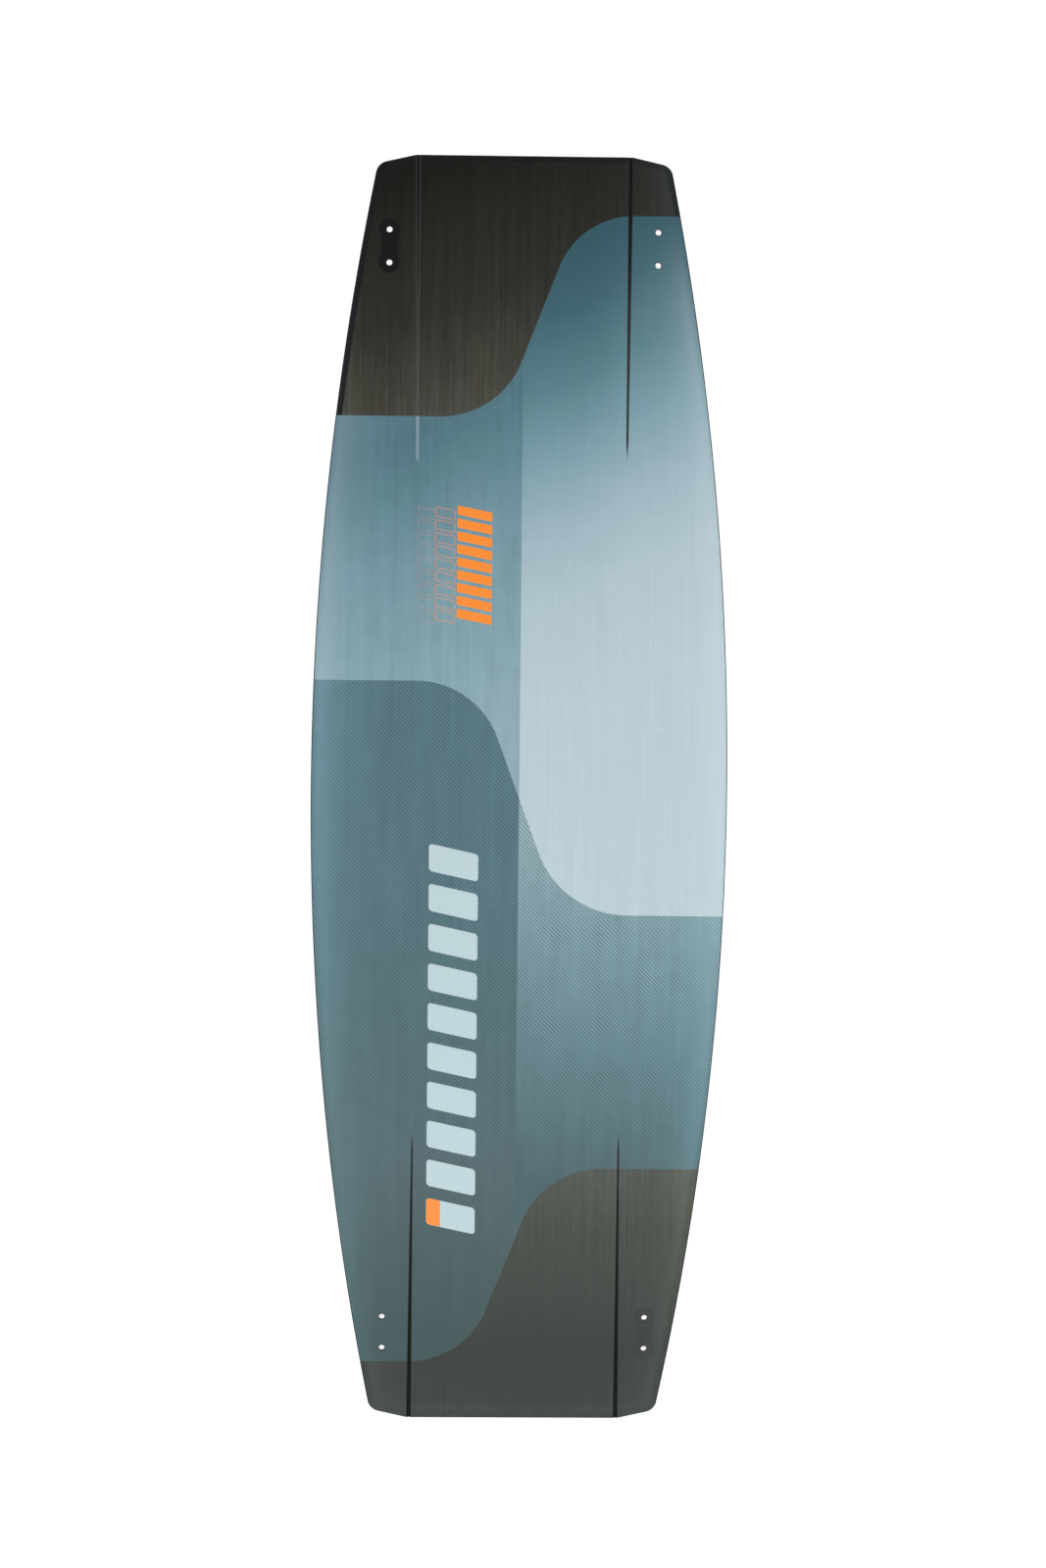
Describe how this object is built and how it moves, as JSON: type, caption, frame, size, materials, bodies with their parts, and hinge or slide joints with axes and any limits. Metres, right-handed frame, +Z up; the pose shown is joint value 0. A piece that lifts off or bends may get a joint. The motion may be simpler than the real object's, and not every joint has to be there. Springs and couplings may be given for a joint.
{
  "type": "kiteboard",
  "caption": "Bare twin-tip kiteboard: laminated wood-core plank with rocker, moulded tip grooves, fin screw holes and threaded deck inserts.",
  "frame": {"origin": "under the middle of the board, in the plane that the deck edges of both tips rest on", "axes": "+X across the board, +Y along it towards tip a, +Z up out of the running base; the board lies deck down"},
  "size_m": [0.455, 1.4, 0.0505],
  "materials": {
    "base_print": "satin printed sheet, dark and see-through at the tips",
    "deck_film": "satin",
    "glass_laminate": "resin-filled glass cloth",
    "core_wood": "raw sanded strips",
    "rail_plastic": "satin",
    "block_plastic": "matte",
    "insert_steel": "turned"
  },
  "bodies": {
    "root": {"base_sheet": "base_print", "base_laminate": "glass_laminate", "deck_laminate": "glass_laminate", "deck_sheet": "deck_film", "core_strip_1": "core_wood", "core_strip_2": "core_wood", "core_strip_3": "core_wood", "core_strip_4": "core_wood", "core_strip_5": "core_wood", "core_strip_6": "core_wood", "core_strip_7": "core_wood", "core_strip_8": "core_wood", "core_strip_9": "core_wood", "rail_left": "rail_plastic", "rail_right": "rail_plastic", "rail_tip_a": "rail_plastic", "rail_tip_b": "rail_plastic", "fin_block_a_left": "block_plastic", "pad_block_a_left": "block_plastic", "fin_block_a_right": "block_plastic", "pad_block_a_right": "block_plastic", "fin_block_b_left": "block_plastic", "pad_block_b_left": "block_plastic", "fin_block_b_right": "block_plastic", "pad_block_b_right": "block_plastic", "handle_block": "block_plastic", "pad_inserts": "insert_steel", "handle_inserts": "insert_steel"}
  },
  "joints": []
}
